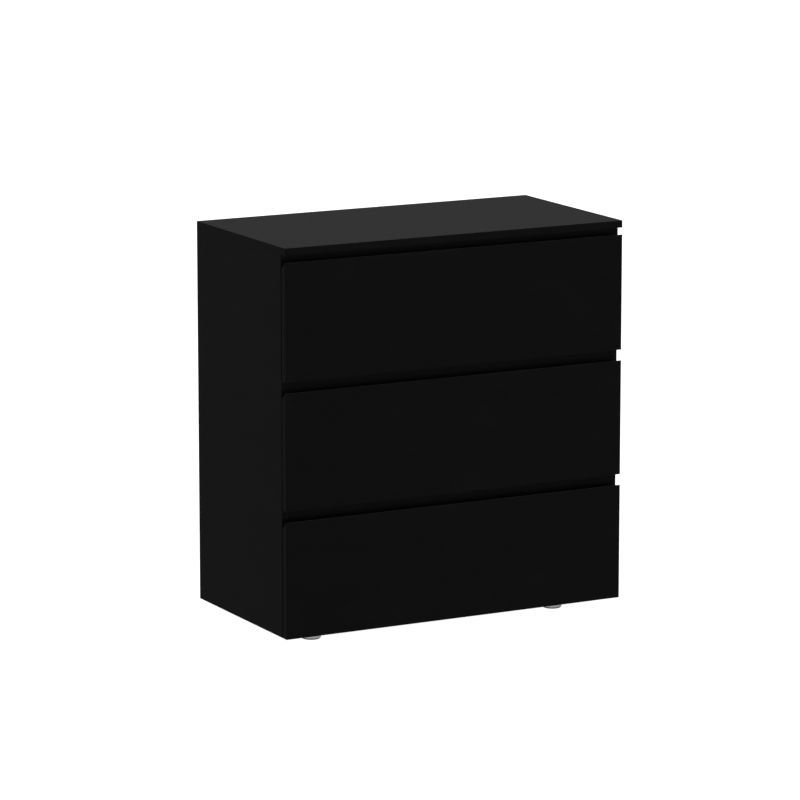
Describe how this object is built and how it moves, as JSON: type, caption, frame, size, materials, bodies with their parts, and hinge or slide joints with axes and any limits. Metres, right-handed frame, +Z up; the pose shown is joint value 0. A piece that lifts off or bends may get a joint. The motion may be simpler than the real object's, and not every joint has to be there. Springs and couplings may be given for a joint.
{
  "type": "chest of drawers",
  "caption": "Wide handle-less bedside chest: black board carcass on grey glides, with full-width drawers on roller runners, opened by finger gaps above each front.",
  "frame": {"origin": "on the floor, under the middle of the chest's outline", "axes": "+Z up, -Y out of the drawer fronts, +X to the right as seen by someone facing the fronts"},
  "size_m": [0.77, 0.4, 0.819],
  "materials": {
    "black_board": "satin",
    "hardboard": "matte",
    "joint_strip": "satin",
    "drawer_board": "matte",
    "drawer_base": "matte",
    "runner_steel": "satin",
    "nylon": "satin",
    "zinc": "satin",
    "dowel_wood": "matte",
    "foot_plastic": "satin",
    "bumper_plastic": "satin"
  },
  "bodies": {
    "root": {"top_panel": "black_board", "left_side_panel": "black_board", "right_side_panel": "black_board", "bottom_panel": "black_board", "top_front_rail": "black_board", "upper_front_rail": "black_board", "lower_front_rail": "black_board", "rear_top_rail": "black_board", "upper_back_panel": "hardboard", "lower_back_panel": "hardboard", "back_joint_strip": "joint_strip", "front_left_foot": "foot_plastic", "front_right_foot": "foot_plastic", "back_left_foot": "foot_plastic", "back_right_foot": "foot_plastic", "carcass_cam_locks": "zinc", "carcass_cam_bolts": "zinc", "carcass_dowels": "dowel_wood", "carcass_screws": "zinc", "back_panel_nails": "zinc", "drawer_bumpers": "bumper_plastic", "top_cabinet_runner_left": "runner_steel", "top_cabinet_runner_right": "runner_steel", "middle_cabinet_runner_left": "runner_steel", "middle_cabinet_runner_right": "runner_steel", "bottom_cabinet_runner_left": "runner_steel", "bottom_cabinet_runner_right": "runner_steel"},
    "top_drawer": {"top_drawer_front": "black_board", "top_drawer_left_side": "drawer_board", "top_drawer_right_side": "drawer_board", "top_drawer_back": "drawer_board", "top_drawer_bottom": "drawer_base", "top_drawer_runner_left": "runner_steel", "top_drawer_runner_right": "runner_steel", "top_drawer_cam_fittings": "zinc", "top_drawer_screws": "zinc"},
    "top_cabinet_roller_pair": {"top_cabinet_rollers": "nylon"},
    "top_drawer_roller_pair": {"top_drawer_rollers": "nylon"},
    "middle_drawer": {"middle_drawer_front": "black_board", "middle_drawer_left_side": "drawer_board", "middle_drawer_right_side": "drawer_board", "middle_drawer_back": "drawer_board", "middle_drawer_bottom": "drawer_base", "middle_drawer_runner_left": "runner_steel", "middle_drawer_runner_right": "runner_steel", "middle_drawer_cam_fittings": "zinc", "middle_drawer_screws": "zinc"},
    "middle_cabinet_roller_pair": {"middle_cabinet_rollers": "nylon"},
    "middle_drawer_roller_pair": {"middle_drawer_rollers": "nylon"},
    "bottom_drawer": {"bottom_drawer_front": "black_board", "bottom_drawer_left_side": "drawer_board", "bottom_drawer_right_side": "drawer_board", "bottom_drawer_back": "drawer_board", "bottom_drawer_bottom": "drawer_base", "bottom_drawer_runner_left": "runner_steel", "bottom_drawer_runner_right": "runner_steel", "bottom_drawer_cam_fittings": "zinc", "bottom_drawer_screws": "zinc"},
    "bottom_cabinet_roller_pair": {"bottom_cabinet_rollers": "nylon"},
    "bottom_drawer_roller_pair": {"bottom_drawer_rollers": "nylon"}
  },
  "joints": [
    {"name": "top_drawer_slide", "type": "slide", "parent": "root", "child": "top_drawer", "axis": [0, -1, 0], "range_m": [0, 0.265]},
    {"name": "top_cabinet_rollers_turn", "type": "hinge", "parent": "root", "child": "top_cabinet_roller_pair", "pos_m": [0, -0.162, 0.58], "axis": [1, 0, 0], "continuous": true},
    {"name": "top_drawer_rollers_turn", "type": "hinge", "parent": "top_drawer", "child": "top_drawer_roller_pair", "pos_m": [0, 0.15, 0.58], "axis": [1, 0, 0], "continuous": true},
    {"name": "middle_drawer_slide", "type": "slide", "parent": "root", "child": "middle_drawer", "axis": [0, -1, 0], "range_m": [0, 0.265]},
    {"name": "middle_cabinet_rollers_turn", "type": "hinge", "parent": "root", "child": "middle_cabinet_roller_pair", "pos_m": [0, -0.162, 0.319], "axis": [1, 0, 0], "continuous": true},
    {"name": "middle_drawer_rollers_turn", "type": "hinge", "parent": "middle_drawer", "child": "middle_drawer_roller_pair", "pos_m": [0, 0.15, 0.319], "axis": [1, 0, 0], "continuous": true},
    {"name": "bottom_drawer_slide", "type": "slide", "parent": "root", "child": "bottom_drawer", "axis": [0, -1, 0], "range_m": [0, 0.265]},
    {"name": "bottom_cabinet_rollers_turn", "type": "hinge", "parent": "root", "child": "bottom_cabinet_roller_pair", "pos_m": [0, -0.162, 0.058], "axis": [1, 0, 0], "continuous": true},
    {"name": "bottom_drawer_rollers_turn", "type": "hinge", "parent": "bottom_drawer", "child": "bottom_drawer_roller_pair", "pos_m": [0, 0.15, 0.058], "axis": [1, 0, 0], "continuous": true}
  ],
  "couplings": [
    {"joint": "top_cabinet_rollers_turn", "follows": "top_drawer_slide", "rad_per_m": 117.65},
    {"joint": "top_drawer_rollers_turn", "follows": "top_drawer_slide", "rad_per_m": 117.65},
    {"joint": "middle_cabinet_rollers_turn", "follows": "middle_drawer_slide", "rad_per_m": 117.65},
    {"joint": "middle_drawer_rollers_turn", "follows": "middle_drawer_slide", "rad_per_m": 117.65},
    {"joint": "bottom_cabinet_rollers_turn", "follows": "bottom_drawer_slide", "rad_per_m": 117.65},
    {"joint": "bottom_drawer_rollers_turn", "follows": "bottom_drawer_slide", "rad_per_m": 117.65}
  ]
}
